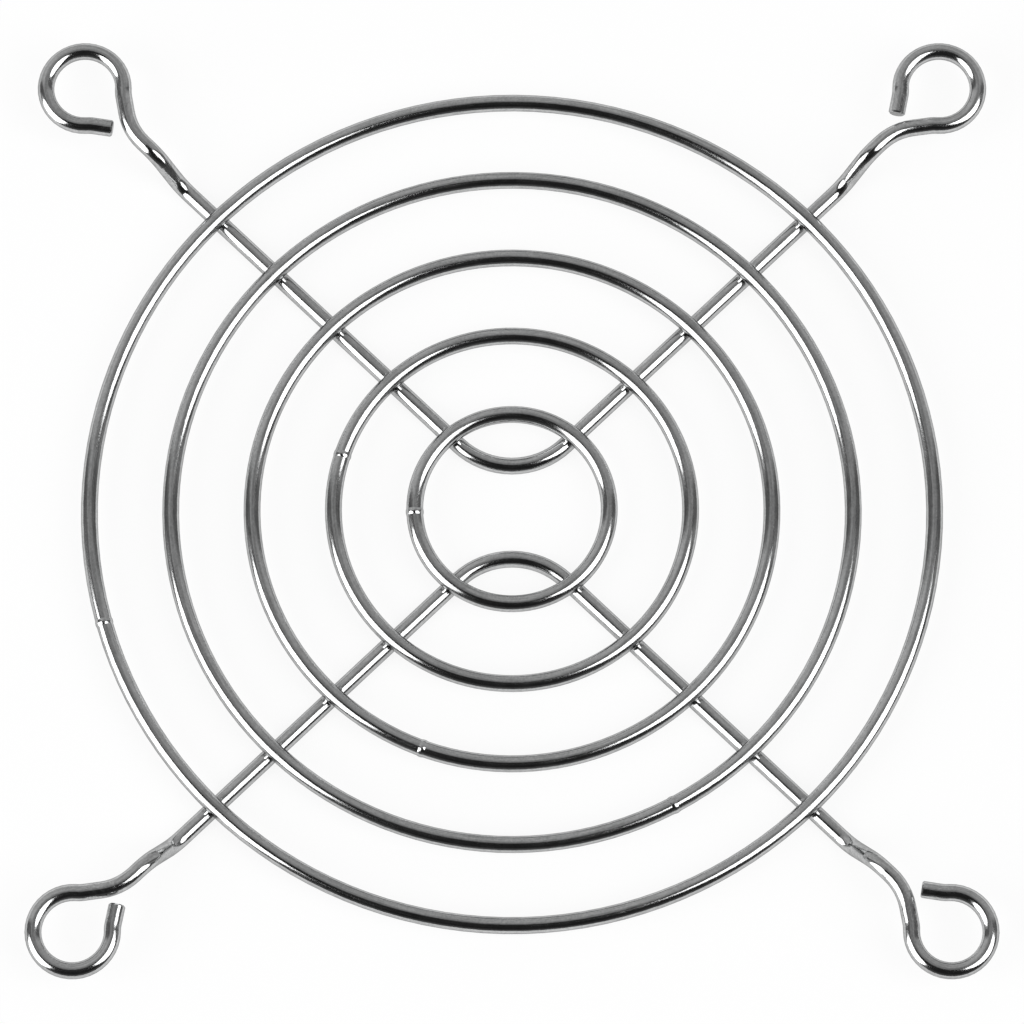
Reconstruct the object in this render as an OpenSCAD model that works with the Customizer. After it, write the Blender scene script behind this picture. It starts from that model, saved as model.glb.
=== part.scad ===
// Wire finger guard for a square axial fan.
// Five concentric rings lie on two V-shaped support wires and are welded to them.
// Each support wire ends in two open screw eyes that stand nearer the fan than the rings do.
// +Z points to the fan. The guard rests on its support wires at Z = 0, with its centre on the Z axis.

/* [Screw pattern] */
// Distance between neighbouring fan screws, both ways
screw_pitch = 71.5; // [66:0.5:90]
// Free diameter of each screw eye
eye_bore_d = 5.1; // [4:0.1:6.5]

/* [Rings] */
// Diameter of the ring wire
ring_wire_d = 1.4; // [1:0.05:2]
// Radius of the innermost ring, to the middle of its wire
ring_first_r = 8.05; // [6.5:0.05:9]
// Step in radius from each ring to the next
ring_pitch = 6.73; // [4:0.01:7]

/* [Support wires] */
// Diameter of the support wire
support_wire_d = 1.4; // [1:0.05:2]
// Distance from the middle of the guard to the point where the two legs of one wire would meet
apex_offset = 1.5; // [0:0.1:3]
// Bend radius of the rounded apex, to the middle of the wire
apex_bend_r = 6.4; // [3:0.1:7]

/* [Joggles] */
// Height that each leg climbs towards the fan, outside the rings
joggle_rise = 3; // [2.4:0.1:5]
// Slope of the climb
joggle_angle = 47; // [38:1:65]
// Radius of the two bends of the climb, to the middle of the wire
joggle_bend_r = 2.4; // [1.2:0.1:3]
// Straight length between the climb and the screw eye's swing
shoulder_l = 0.45; // [0.2:0.05:3]

/* [Screw eyes] */
// Angle at which the wire swings aside before it curls round the screw
eye_lead_angle = 36; // [32:1:45]
// Straight length between the swing and the curl
eye_lead_l = 1.4; // [0.2:0.1:2]
// How far the wire curls round the screw
eye_sweep = 273; // [250:1:285]
// Angle by which the wire springs open again at each end of the curl
eye_relief_angle = 11; // [4:1:14]
// Radius of these reliefs, to the middle of the wire
eye_relief_r = 3; // [1.5:0.1:4]
// Depth of the narrow land that the forming mandrel leaves inside the eye
eye_land_depth = 0.02; // [0.01:0.01:0.2]
// Length of the straight tail after the curl
tail_l = 1.6; // [0.6:0.05:2.2]
// Width of the bevel round each cut wire end
cut_bevel = 0.12; // [0.02:0.01:0.4]

/* [Welds] */
// Depth that the welds press the rings into the support wires
weld_setdown = 0.05; // [0.02:0.01:0.2]
// Radius of the flash round each weld between a ring and a support wire
weld_flash_r = 0.6; // [0.3:0.05:0.7]
// Height that the weld closing a ring stands proud of its wire
butt_weld_upset = 0.05; // [0.02:0.01:0.2]

/* [Display] */
// Piece to show

/* [Hidden] */
ring_color = [0.78, 0.78, 0.78];
support_color = [0.72, 0.72, 0.73];

ring_wire_r = ring_wire_d / 2;
wire_r = support_wire_d / 2;

// Each straight length is a hair thinner than the bends it runs into, and ends inside them.
// Where one bend follows another, a short straight link joins them.
seat_l = 0.05;
seat_slack = 0.002;
link_l = 2 * seat_l;

// Heights of the wire centre lines
leg_z = wire_r;
ring_z = leg_z + wire_r + ring_wire_r - weld_setdown;

// Each leg heads straight for its own screw
screw_half = screw_pitch / 2;
leg_angle = atan2(screw_half - apex_offset, screw_half);
apex_to_screw = norm([screw_half, screw_half - apex_offset]);
apex_y = apex_offset + apex_bend_r * (1 / cos(leg_angle) - 1);
joggle_run = joggle_rise / tan(joggle_angle);
joggle_tangent = joggle_bend_r * tan(joggle_angle / 2);
joggle_slope_l = joggle_rise / sin(joggle_angle) - 2 * joggle_tangent;

// The eye: the curl is centred on the screw, and the swing takes the wire out to meet it
eye_r = eye_bore_d / 2 + wire_r - eye_land_depth;
curl_start = eye_lead_angle + eye_relief_angle;
relief_aside = eye_relief_r * (cos(eye_lead_angle) - cos(curl_start));
relief_along = eye_relief_r * (sin(curl_start) - sin(eye_lead_angle));
swing_aside = eye_r * cos(curl_start) - link_l * sin(curl_start)
    - relief_aside - eye_lead_l * sin(eye_lead_angle);
swing_r = swing_aside / (1 - cos(eye_lead_angle));
swing_to_screw = swing_r * sin(eye_lead_angle) + eye_lead_l * cos(eye_lead_angle)
    + relief_along + link_l * cos(curl_start) + eye_r * sin(curl_start);
joggle_to_screw = joggle_tangent + shoulder_l + swing_to_screw;
leg_l = apex_to_screw - joggle_to_screw - joggle_run - joggle_tangent - apex_bend_r * tan(leg_angle);

// Sides of a wire's section and of the curves along it
wire_facets = 32;
bend_facets = 96;
ring_facets = 144;

// ---- wire forming -------------------------------------------------------------------
// Each operation works along +X. What follows it starts at its far end.

module straight(l) {
    translate([-seat_l, 0, 0])
        rotate([0, 90, 0])
            cylinder(r = wire_r - seat_slack, h = l + 2 * seat_l, $fn = wire_facets);
    translate([l, 0, 0])
        children();
}

// A bend by angle a about a centre to the left. roll turns the bend about the wire:
// 180 bends to the right, 90 bends up and -90 bends down. A bend round a mandrel of
// radius land_r has a narrow land along its inside.
module bend(r, a, roll = 0, land_r = 0) {
    rotate([roll, 0, 0]) {
        translate([0, r, 0])
            rotate([0, 0, -90])
                rotate_extrude(angle = a, $fn = bend_facets)
                    difference() {
                        translate([r, 0])
                            circle(r = wire_r, $fn = wire_facets);
                        if (land_r > 0)
                            translate([0, -wire_r])
                                square([land_r, 2 * wire_r]);
                    }
        translate([r * sin(a), r * (1 - cos(a)), 0])
            rotate([0, 0, a])
                rotate([-roll, 0, 0])
                    children();
    }
}

// The last straight length, down to its bevelled cut end
module tail(l) {
    rotate([0, 90, 0])
        rotate_extrude($fn = wire_facets)
            polygon([
                [0, -seat_l],
                [wire_r - seat_slack, -seat_l],
                [wire_r - seat_slack, l - cut_bevel],
                [wire_r - cut_bevel, l],
                [0, l]
            ]);
}

// ---- support wires ------------------------------------------------------------------

module apex() {
    translate([0, apex_y + apex_bend_r, leg_z])
        rotate([0, 0, -90 - leg_angle])
            rotate_extrude(angle = 2 * leg_angle, $fn = bend_facets)
                translate([apex_bend_r, 0])
                    circle(r = wire_r, $fn = wire_facets);
}

// side = 1 runs out to +X, side = -1 to -X
module leg(side) {
    translate([side * apex_bend_r * sin(leg_angle), apex_y + apex_bend_r * (1 - cos(leg_angle)), leg_z])
        rotate([0, 0, side > 0 ? leg_angle : 180 - leg_angle])
            straight(leg_l)
                children();
}

module joggle() {
    bend(joggle_bend_r, joggle_angle, roll = 90)
        straight(joggle_slope_l)
            bend(joggle_bend_r, joggle_angle, roll = -90)
                children();
}

module screw_eye() {
    straight(shoulder_l)
        bend(swing_r, eye_lead_angle, roll = 180)
            straight(eye_lead_l)
                bend(eye_relief_r, eye_relief_angle, roll = 180)
                    straight(link_l)
                        bend(eye_r, eye_sweep, land_r = eye_bore_d / 2)
                            straight(link_l)
                                bend(eye_relief_r, eye_relief_angle, roll = 180)
                                    tail(tail_l);
}

// The wire on the +Y side
module support_wire() {
    apex();
    for (side = [1, -1])
        leg(side)
            joggle()
                screw_eye();
}

// Where a ring of radius r crosses the legs of the wire on the +Y side
function crossing_x(r) = cos(leg_angle) * (sqrt(r * r - pow(apex_offset * cos(leg_angle), 2))
    - apex_offset * sin(leg_angle));
function crossing_y(r) = apex_offset + crossing_x(r) * tan(leg_angle);

// ---- rings --------------------------------------------------------------------------

// A ring seated on both support wires. weld_at is the angle of the weld that closes it.
module ring(index, weld_at) {
    r = ring_first_r + (index - 1) * ring_pitch;
    difference() {
        union() {
            translate([0, 0, ring_z])
                rotate_extrude($fn = ring_facets)
                    translate([r, 0])
                        circle(r = ring_wire_r, $fn = wire_facets);
            rotate([0, 0, weld_at])
                translate([r, 0, ring_z])
                    sphere(r = ring_wire_r + butt_weld_upset, $fn = wire_facets);
            for (turn = [0, 180], side = [1, -1])
                rotate([0, 0, turn])
                    translate([side * crossing_x(r), crossing_y(r), leg_z])
                        cylinder(r = weld_flash_r, h = ring_z - leg_z, $fn = wire_facets);
        }
        for (turn = [0, 180])
            rotate([0, 0, turn]) {
                apex();
                leg(1);
                leg(-1);
            }
    }
}

// ---- pieces -------------------------------------------------------------------------

module ring_1() {
    color(ring_color)
        ring(1, 182);
}

module ring_2() {
    color(ring_color)
        ring(2, 162);
}

module ring_3() {
    color(ring_color)
        ring(3, 250);
}

module ring_4() {
    color(ring_color)
        ring(4, 298);
}

module ring_5() {
    color(ring_color)
        ring(5, 196);
}

module support_wire_1() {
    color(support_color)
        support_wire();
}

module support_wire_2() {
    color(support_color)
        rotate([0, 0, 180])
            support_wire();
}

ring_1();
ring_2();
ring_3();
ring_4();
ring_5();
support_wire_1();
support_wire_2();
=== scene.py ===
# The looks of a wire finger guard: five bright plated rings welded on two formed support wires,
# lying on a plain pale floor under soft studio light.
import math

import bpy
import numpy as np
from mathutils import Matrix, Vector


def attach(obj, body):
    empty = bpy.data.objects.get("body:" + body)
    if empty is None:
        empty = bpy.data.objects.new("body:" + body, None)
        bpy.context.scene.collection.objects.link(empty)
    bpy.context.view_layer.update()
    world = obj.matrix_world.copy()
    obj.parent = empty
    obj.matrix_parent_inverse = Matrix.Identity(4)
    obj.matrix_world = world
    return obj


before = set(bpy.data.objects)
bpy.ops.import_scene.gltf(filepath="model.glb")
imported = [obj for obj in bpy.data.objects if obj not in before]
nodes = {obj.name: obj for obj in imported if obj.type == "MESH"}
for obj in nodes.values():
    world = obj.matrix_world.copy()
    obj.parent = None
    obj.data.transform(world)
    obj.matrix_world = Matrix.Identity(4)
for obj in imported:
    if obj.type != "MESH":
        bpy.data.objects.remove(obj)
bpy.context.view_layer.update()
RINGS = ["ring_1", "ring_2", "ring_3", "ring_4", "ring_5"]
SUPPORT_WIRES = ["support_wire_1", "support_wire_2"]

# ---- the guard's plan, in millimetres ---------------------------------------------------
MM_PER_M = 1000
WIRE_R = 0.7
WELD_SETDOWN = 0.05
RING_FIRST_R = 8.05
RING_PITCH = 6.73
SCREW_PITCH = 71.5
EYE_BORE_D = 5.1
EYE_LAND_DEPTH = 0.02
APEX_OFFSET = 1.5
APEX_BEND_R = 6.4
# heights and radii are to the middle of the wire
LEG_Z = WIRE_R
RING_Z = 3 * WIRE_R - WELD_SETDOWN
SCREW_HALF = SCREW_PITCH / 2
EYE_R = EYE_BORE_D / 2 + WIRE_R - EYE_LAND_DEPTH
LEG_ANGLE = math.atan2(SCREW_HALF - APEX_OFFSET, SCREW_HALF)
LEG_SIN = math.sin(LEG_ANGLE)
LEG_COS = math.cos(LEG_ANGLE)
APEX_CENTRE_Y = APEX_OFFSET + APEX_BEND_R / LEG_COS
APEX_HALF = APEX_BEND_R * LEG_SIN

# ---- camera -----------------------------------------------------------------------------
CAMERA_ELEVATION = math.radians(76.72)
CAMERA_DISTANCE = 0.5949
CAMERA_LENS = 251.9
CAMERA_SENSOR = 36
CAMERA_SHIFT_Y = 0.00244  # in picture widths


def add_camera():
    towards = Vector((0, -math.cos(CAMERA_ELEVATION), math.sin(CAMERA_ELEVATION)))
    camera = bpy.data.objects.new("camera", bpy.data.cameras.new("camera"))
    bpy.context.collection.objects.link(camera)
    camera.location = towards * CAMERA_DISTANCE
    camera.rotation_mode = "QUATERNION"
    camera.rotation_quaternion = (-towards).to_track_quat("-Z", "Y")
    camera.data.lens = CAMERA_LENS
    camera.data.sensor_width = CAMERA_SENSOR
    camera.data.shift_y = CAMERA_SHIFT_Y
    camera.data.clip_start = 0.01
    camera.data.clip_end = 50
    return camera


bpy.context.scene.camera = add_camera()


# ---- node helpers -----------------------------------------------------------------------
def new_tree(material):
    material.use_nodes = True
    material.node_tree.nodes.clear()
    return material.node_tree


def feed(t, socket, value):
    """Set the socket to a number, or link another node's output to it."""
    if isinstance(value, (int, float)):
        socket.default_value = value
    else:
        t.links.new(value, socket)


def node(t, kind, **inputs):
    """A new node. Its inputs are set by name, with _ for a space."""
    n = t.nodes.new(kind)
    for key, value in inputs.items():
        n.inputs[key.replace("_", " ")].default_value = value
    return n


def calc(t, operation, *values, clamp=False):
    n = t.nodes.new("ShaderNodeMath")
    n.operation = operation
    n.use_clamp = clamp
    for socket, value in zip(n.inputs, values):
        feed(t, socket, value)
    return n.outputs[0]


def smooth(t, value, lo, hi, out_lo=0.0, out_hi=1.0):
    """The value eased from out_lo at lo to out_hi at hi."""
    n = node(t, "ShaderNodeMapRange", From_Min=lo, From_Max=hi, To_Min=out_lo, To_Max=out_hi)
    n.interpolation_type = "SMOOTHSTEP"
    t.links.new(value, n.inputs["Value"])
    return n.outputs["Result"]


def blend(t, value, other, share):
    """The value where share is 0, the other where it is 1."""
    n = t.nodes.new("ShaderNodeMix")
    n.data_type = "FLOAT"
    feed(t, n.inputs[0], share)
    feed(t, n.inputs[2], value)
    feed(t, n.inputs[3], other)
    return n.outputs[0]


def joined_vector(t, *values):
    n = t.nodes.new("ShaderNodeCombineXYZ")
    for socket, value in zip(n.inputs, values):
        feed(t, socket, value)
    return n.outputs[0]


def split_vector(t, value):
    n = t.nodes.new("ShaderNodeSeparateXYZ")
    t.links.new(value, n.inputs[0])
    return n.outputs


def length(t, x, y):
    return calc(t, "SQRT", calc(t, "ADD", calc(t, "MULTIPLY", x, x), calc(t, "MULTIPLY", y, y)))


# ---- studio -----------------------------------------------------------------------------
# in these levels of light, 1 is white
SOFTBOX_RADIANCE = 3.6
CEILING_LIGHT = 0.27
BACK_WALL_LIGHT = 0.445
BACK_WALL_LEFT_GAIN = 1.4
BACK_WALL_RIGHT_GAIN = 1.15
FRONT_TOP_LIGHT = 0.02
FRONT_LOW_LIGHT = 0.12
FLAG_LIGHT = 0.15
# where one light eases into the next, along x, y or z of a direction that is 1 long
CEILING_EASE = (1.0, 0.8)
LEFT_GAIN_EASE = (0.5, -0.7)
RIGHT_GAIN_EASE = (0.2, 0.8)
FRONT_EASE = (0.6, 0.0)
BACK_EASE = (-0.1, 0.2)
FLAG_EDGE_EASE = (0.2, 0.07)
FLAG_SIDE_EASE = (0.3, 0.5)
FLAG_AZIMUTH = math.radians(15)
SOFTBOX_DISTANCE = 3.0
FLOOR_HALF = 6.0
FLOOR_COLOUR = (0.95, 0.95, 0.95, 1)
FLOOR_WHITE_SHARE = 0.88


def softbox(name, azimuth, zenith, size):
    """A round-ended soft light that faces the guard. Azimuth 0 is +X and 90 is +Y, and the size
    is across and up, in metres."""
    a, z = math.radians(azimuth), math.radians(zenith)
    out = Vector((math.cos(a) * math.sin(z), math.sin(a) * math.sin(z), math.cos(z)))
    area = math.pi / 4 * size[0] * size[1]
    lamp = bpy.data.lights.new(name, "AREA")
    lamp.shape = "ELLIPSE"
    lamp.size, lamp.size_y = size
    lamp.energy = SOFTBOX_RADIANCE * math.pi * area
    ob = bpy.data.objects.new(name, lamp)
    bpy.context.collection.objects.link(ob)
    ob.location = out * SOFTBOX_DISTANCE
    ob.rotation_mode = "QUATERNION"
    ob.rotation_quaternion = out.to_track_quat("Z", "Y")
    ob.visible_camera = False


def flag_mask(t, x, y, side):
    """1 inside a narrow upright band on one side of the room, open at its top."""
    across = calc(t, "MULTIPLY", x, -side * math.sin(FLAG_AZIMUTH))
    across = calc(t, "MULTIPLY_ADD", y, math.cos(FLAG_AZIMUTH), across)
    band = smooth(t, calc(t, "ABSOLUTE", across), *FLAG_EDGE_EASE)
    return calc(t, "MULTIPLY", band, smooth(t, calc(t, "MULTIPLY", x, side), *FLAG_SIDE_EASE))


def studio_world():
    """A soft grey room: pale behind the guard, dark on the camera's side, with a dark flag between
    the back wall and each softbox."""
    w = bpy.data.worlds.new("studio")
    w.use_nodes = True
    t = w.node_tree
    # the way from the guard to each part of the room: +X is right, +Y is behind it, +Z is up
    x, y, z = split_vector(t, t.nodes.new("ShaderNodeTexCoord").outputs["Generated"])
    back_light = smooth(t, z, *CEILING_EASE, CEILING_LIGHT, BACK_WALL_LIGHT)
    left_gain = smooth(t, x, *LEFT_GAIN_EASE, 1.0, BACK_WALL_LEFT_GAIN)
    back_light = calc(t, "MULTIPLY", back_light, left_gain)
    right_gain = smooth(t, x, *RIGHT_GAIN_EASE, 1.0, BACK_WALL_RIGHT_GAIN)
    back_light = calc(t, "MULTIPLY", back_light, right_gain)
    front_light = smooth(t, z, *FRONT_EASE, FRONT_TOP_LIGHT, FRONT_LOW_LIGHT)
    light = blend(t, front_light, back_light, smooth(t, y, *BACK_EASE))
    for side in (1, -1):
        light = blend(t, light, FLAG_LIGHT, flag_mask(t, x, y, side))
    background = t.nodes["Background"]
    background.inputs["Color"].default_value = (1, 1, 1, 1)
    t.links.new(light, background.inputs["Strength"])
    return w


def floor_material():
    """Pale paper that the camera, and the metal's own reflections, see as nearly white. The rest of
    its light is the paper's own, so it keeps the guard's shadow."""
    m = bpy.data.materials.new("floor_paper")
    t = new_tree(m)
    out = node(t, "ShaderNodeOutputMaterial")
    paper = node(t, "ShaderNodeBsdfDiffuse", Color=FLOOR_COLOUR)
    white = node(t, "ShaderNodeEmission", Color=(1, 1, 1, 1), Strength=1.0)
    path = node(t, "ShaderNodeLightPath").outputs
    seen = calc(t, "MAXIMUM", path["Is Camera Ray"], path["Is Glossy Ray"])
    seen = calc(t, "MAXIMUM", seen, path["Is Transmission Ray"])
    mix = node(t, "ShaderNodeMixShader")
    t.links.new(calc(t, "MULTIPLY", seen, FLOOR_WHITE_SHARE), mix.inputs["Fac"])
    t.links.new(paper.outputs[0], mix.inputs[1])
    t.links.new(white.outputs[0], mix.inputs[2])
    t.links.new(mix.outputs[0], out.inputs["Surface"])
    return m


def add_floor():
    h = FLOOR_HALF
    mesh = bpy.data.meshes.new("floor")
    mesh.from_pydata([(-h, -h, 0), (h, -h, 0), (h, h, 0), (-h, h, 0)], [], [(0, 1, 2, 3)])
    mesh.materials.append(floor_material())
    ob = bpy.data.objects.new("floor", mesh)
    bpy.context.collection.objects.link(ob)
    return ob


softbox("left_softbox", azimuth=203, zenith=62, size=(2.45, 4.4))
softbox("right_softbox", azimuth=340, zenith=41, size=(1.95, 3.4))
bpy.context.scene.world = studio_world()
floor = add_floor()

# ---- plating ----------------------------------------------------------------------------
DARK_METAL = (0.345, 0.349, 0.349, 1)
LIGHT_METAL = (0.615, 0.618, 0.62, 1)
RIM_TINT = (0.5, 0.5, 0.5, 1)
POLISHED_ROUGHNESS = 0.035
# heights of the surface in metres
WAVE_HEIGHT = 2.0e-5
DRAW_LINE_HEIGHT = 3.0e-6
GRAIN_HEIGHT = 1.5e-6
# distances in millimetres over which one zone of the wire eases into the next
APEX_EASE = 0.1
EYE_EASE = (5.4, 4.4)
WELD_EASE = (1.7, 0.6)
OUTSIDE_RINGS_EASE = (37.2, 36.4)


def ring_section(t, radius, beside_leg):
    """A measure across a ring's wire, and how near a weld is, from 0 to 1."""
    return radius, smooth(t, calc(t, "ABSOLUTE", beside_leg), *WELD_EASE)


def leg_section(t, u, v, radius, beside_leg):
    """The same for a support wire, round its apex, along its legs and round its eyes."""
    beside_apex = length(t, u, calc(t, "SUBTRACT", v, APEX_CENTRE_Y))
    beside_apex = calc(t, "SUBTRACT", beside_apex, APEX_BEND_R)
    from_screw = length(t, calc(t, "SUBTRACT", u, SCREW_HALF), calc(t, "SUBTRACT", v, SCREW_HALF))
    in_apex = smooth(t, u, APEX_HALF + APEX_EASE, APEX_HALF - APEX_EASE)
    in_eye = smooth(t, from_screw, *EYE_EASE)
    across = blend(t, beside_leg, beside_apex, in_apex)
    across = blend(t, across, calc(t, "SUBTRACT", from_screw, EYE_R), in_eye)
    from_ring = calc(t, "PINGPONG", calc(t, "SUBTRACT", radius, RING_FIRST_R), RING_PITCH / 2)
    near_weld = calc(t, "MULTIPLY", smooth(t, from_ring, *WELD_EASE),
                     smooth(t, radius, *OUTSIDE_RINGS_EASE))
    return across, near_weld


def plating(name, on_ring):
    """Bright plating over drawn wire. The die's fine lines run along the wire, the wire's surface
    waves a little between them, the plating has a fine grain, and it is duller round the welds."""
    m = bpy.data.materials.new(name)
    t = new_tree(m)
    out = node(t, "ShaderNodeOutputMaterial")
    metal = node(t, "ShaderNodeBsdfPrincipled", Metallic=1.0, Specular_Tint=RIM_TINT)
    t.links.new(metal.outputs[0], out.inputs["Surface"])

    in_mm = node(t, "ShaderNodeVectorMath")
    in_mm.operation = "SCALE"
    in_mm.inputs["Scale"].default_value = MM_PER_M
    t.links.new(t.nodes.new("ShaderNodeTexCoord").outputs["Object"], in_mm.inputs[0])
    x, y, z = split_vector(t, in_mm.outputs[0])
    # the four quarters of the guard are alike
    u = calc(t, "ABSOLUTE", x)
    v = calc(t, "ABSOLUTE", y)
    radius = length(t, x, y)
    beside_leg = calc(t, "SUBTRACT", calc(t, "MULTIPLY", u, LEG_SIN),
                      calc(t, "MULTIPLY", calc(t, "SUBTRACT", v, APEX_OFFSET), LEG_COS))
    if on_ring:
        across, near_weld = ring_section(t, radius, beside_leg)
    else:
        across, near_weld = leg_section(t, u, v, radius, beside_leg)

    def noise(per_mm, per_mm_along, detail, roughness):
        """Noise with so many patches to the millimetre across the wire and along it."""
        n = node(t, "ShaderNodeTexNoise", Scale=1.0, Detail=detail, Roughness=roughness)
        n.noise_dimensions = "4D"
        place = joined_vector(t, calc(t, "MULTIPLY", across, per_mm), calc(t, "MULTIPLY", z, per_mm),
                              calc(t, "MULTIPLY", x, per_mm_along))
        t.links.new(place, n.inputs["Vector"])
        t.links.new(calc(t, "MULTIPLY", y, per_mm_along), n.inputs["W"])
        return n.outputs["Fac"]

    draw_lines = noise(7.0, 0.3, detail=3.0, roughness=0.6)
    waves = noise(0.9, 0.16, detail=1.0, roughness=0.4)
    clouds = noise(1.6, 0.9, detail=3.0, roughness=0.6)
    grain = noise(5.0, 5.0, detail=2.0, roughness=0.6)

    # colour: a little darker in the deeper draw lines, in dull patches and in the fine grain
    tone = calc(t, "ADD", calc(t, "MULTIPLY", draw_lines, 0.45), calc(t, "MULTIPLY", clouds, 0.2))
    tone = smooth(t, calc(t, "MULTIPLY_ADD", grain, 0.35, tone), 0.3, 0.7)
    tone = calc(t, "SUBTRACT", tone, calc(t, "MULTIPLY", near_weld, 0.2), clamp=True)
    shade = t.nodes.new("ShaderNodeMix")
    shade.data_type = "RGBA"
    shade.inputs[6].default_value = DARK_METAL
    shade.inputs[7].default_value = LIGHT_METAL
    t.links.new(tone, shade.inputs[0])
    t.links.new(shade.outputs[2], metal.inputs["Base Color"])

    dullness = calc(t, "MULTIPLY_ADD", draw_lines, 0.10, POLISHED_ROUGHNESS)
    dullness = calc(t, "MULTIPLY_ADD", clouds, 0.07, dullness)
    dullness = calc(t, "MULTIPLY_ADD", near_weld, 0.05, dullness)
    t.links.new(dullness, metal.inputs["Roughness"])

    surface = None
    for pattern, height in ((waves, WAVE_HEIGHT), (draw_lines, DRAW_LINE_HEIGHT), (grain, GRAIN_HEIGHT)):
        bump = node(t, "ShaderNodeBump", Strength=1.0, Distance=height)
        t.links.new(pattern, bump.inputs["Height"])
        if surface:
            t.links.new(surface, bump.inputs["Normal"])
        surface = bump.outputs[0]
    t.links.new(surface, metal.inputs["Normal"])
    return m


ring_plating = plating("ring_plating", on_ring=True)
support_plating = plating("support_plating", on_ring=False)
for name in RINGS + SUPPORT_WIRES:
    wire = nodes[name].data
    wire.materials.clear()
    wire.materials.append(ring_plating if name in RINGS else support_plating)

# ---- weld metal -------------------------------------------------------------------------
QUARTERS = ((1, 1), (-1, 1), (-1, -1), (1, -1))
# in millimetres. The weld metal is a quarter of FILLET thick in the corner between the wires
FILLET = 0.42
FILLET_SPREAD = 0.1
NUGGET_SINK = 0.008
NUGGET_CORE = 0.1
NUGGET_REACH = 1.2
# steps of a wave, so that neighbouring fillets differ
RING_PHASE = 2.3
QUARTER_PHASE = 1.7
# a nugget's mesh: points round it, rows up it, and the angle of its last row in degrees
NUGGET_TURNS = 64
NUGGET_ROWS = 33
NUGGET_TOP_ANGLE = 80
# a point of it is found by even steps out to NUGGET_REACH, and then by halving
SEARCH_STEPS = 56
SEARCH_HALVINGS = 14


def leg_distance(p):
    """Distance of points p from the skin of the leg in the +X +Y quarter."""
    x, y, z = p[..., 0], p[..., 1], p[..., 2]
    straight = x * LEG_SIN - (y - APEX_OFFSET) * LEG_COS
    bent = np.hypot(x, y - APEX_CENTRE_Y) - APEX_BEND_R
    return np.hypot(np.where(x < APEX_HALF, bent, straight), z - LEG_Z) - WIRE_R


def ring_distance(p, ring_r):
    return np.hypot(np.hypot(p[..., 0], p[..., 1]) - ring_r, p[..., 2] - RING_Z) - WIRE_R


def weld_distance(p, ring_r, fillet):
    """Distance from the skin of both wires, rounded out by weld metal where they meet."""
    a, b = leg_distance(p), ring_distance(p, ring_r)
    h = np.maximum(fillet - np.abs(a - b), 0) / fillet
    return np.minimum(a, b) - h * h * fillet / 4


def crossing(ring_r):
    """Where a ring crosses the leg in the +X +Y quarter, half way between the two wires."""
    along = math.sqrt(ring_r ** 2 - (APEX_OFFSET * LEG_COS) ** 2) - APEX_OFFSET * LEG_SIN
    return np.array((along * LEG_COS, APEX_OFFSET + along * LEG_SIN, (LEG_Z + RING_Z) / 2))


def nugget(ring_r, fillet):
    """A closed form that fills the corner where a ring crosses a leg, and runs out just under the
    skin of both wires. Each of its points is found along a ray from the crossing."""
    centre = crossing(ring_r)
    turn, rise = np.meshgrid(np.arange(NUGGET_TURNS) * 2 * math.pi / NUGGET_TURNS,
                             np.radians(np.linspace(-NUGGET_TOP_ANGLE, NUGGET_TOP_ANGLE, NUGGET_ROWS)),
                             indexing="ij")
    way = np.stack((np.cos(turn) * np.cos(rise), np.sin(turn) * np.cos(rise), np.sin(rise)), -1)

    def in_metal(distance):
        return weld_distance(centre + way * distance[..., None], ring_r, fillet) + NUGGET_SINK < 0

    steps = np.linspace(NUGGET_CORE, NUGGET_REACH, SEARCH_STEPS)
    inside = np.stack([in_metal(np.full(turn.shape, step)) for step in steps], -1)
    first_out = np.where(inside.all(-1), SEARCH_STEPS - 1, np.argmin(inside, -1))
    near, far = steps[np.maximum(first_out - 1, 0)], steps[first_out]
    for _ in range(SEARCH_HALVINGS):
        middle = (near + far) / 2
        hit = in_metal(middle)
        near, far = np.where(hit, middle, near), np.where(hit, far, middle)
    points = (centre + way * near[..., None]).reshape(-1, 3)

    def corner(i, j):
        return i % NUGGET_TURNS * NUGGET_ROWS + j

    faces = [(corner(i, j), corner(i + 1, j), corner(i + 1, j + 1), corner(i, j + 1))
             for i in range(NUGGET_TURNS) for j in range(NUGGET_ROWS - 1)]
    faces.append(tuple(corner(i, 0) for i in reversed(range(NUGGET_TURNS))))
    faces.append(tuple(corner(i, NUGGET_ROWS - 1) for i in range(NUGGET_TURNS)))
    return points, faces


def weld_metal():
    """The weld metal of every crossing, each fillet a little different from the next."""
    verts, faces = [], []
    for k in range(len(RINGS)):
        for q, (side_x, side_y) in enumerate(QUARTERS):
            fillet = FILLET + FILLET_SPREAD * math.sin(RING_PHASE * k + QUARTER_PHASE * q)
            points, rows = nugget(RING_FIRST_R + k * RING_PITCH, fillet)
            base = len(verts)
            verts += [tuple(p) for p in points * (side_x, side_y, 1) / MM_PER_M]
            # a mirrored quarter's faces are turned round to face out
            mirrored = side_x * side_y < 0
            faces += [tuple(base + i for i in (reversed(row) if mirrored else row)) for row in rows]
    mesh = bpy.data.meshes.new("weld_metal")
    mesh.from_pydata(verts, [], faces)
    mesh.polygons.foreach_set("use_smooth", [True] * len(mesh.polygons))
    mesh.materials.append(support_plating)
    ob = bpy.data.objects.new("weld_metal", mesh)
    bpy.context.collection.objects.link(ob)
    return ob


welds = weld_metal()
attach(welds, "root")

bpy.context.scene.view_settings.view_transform = "Standard"
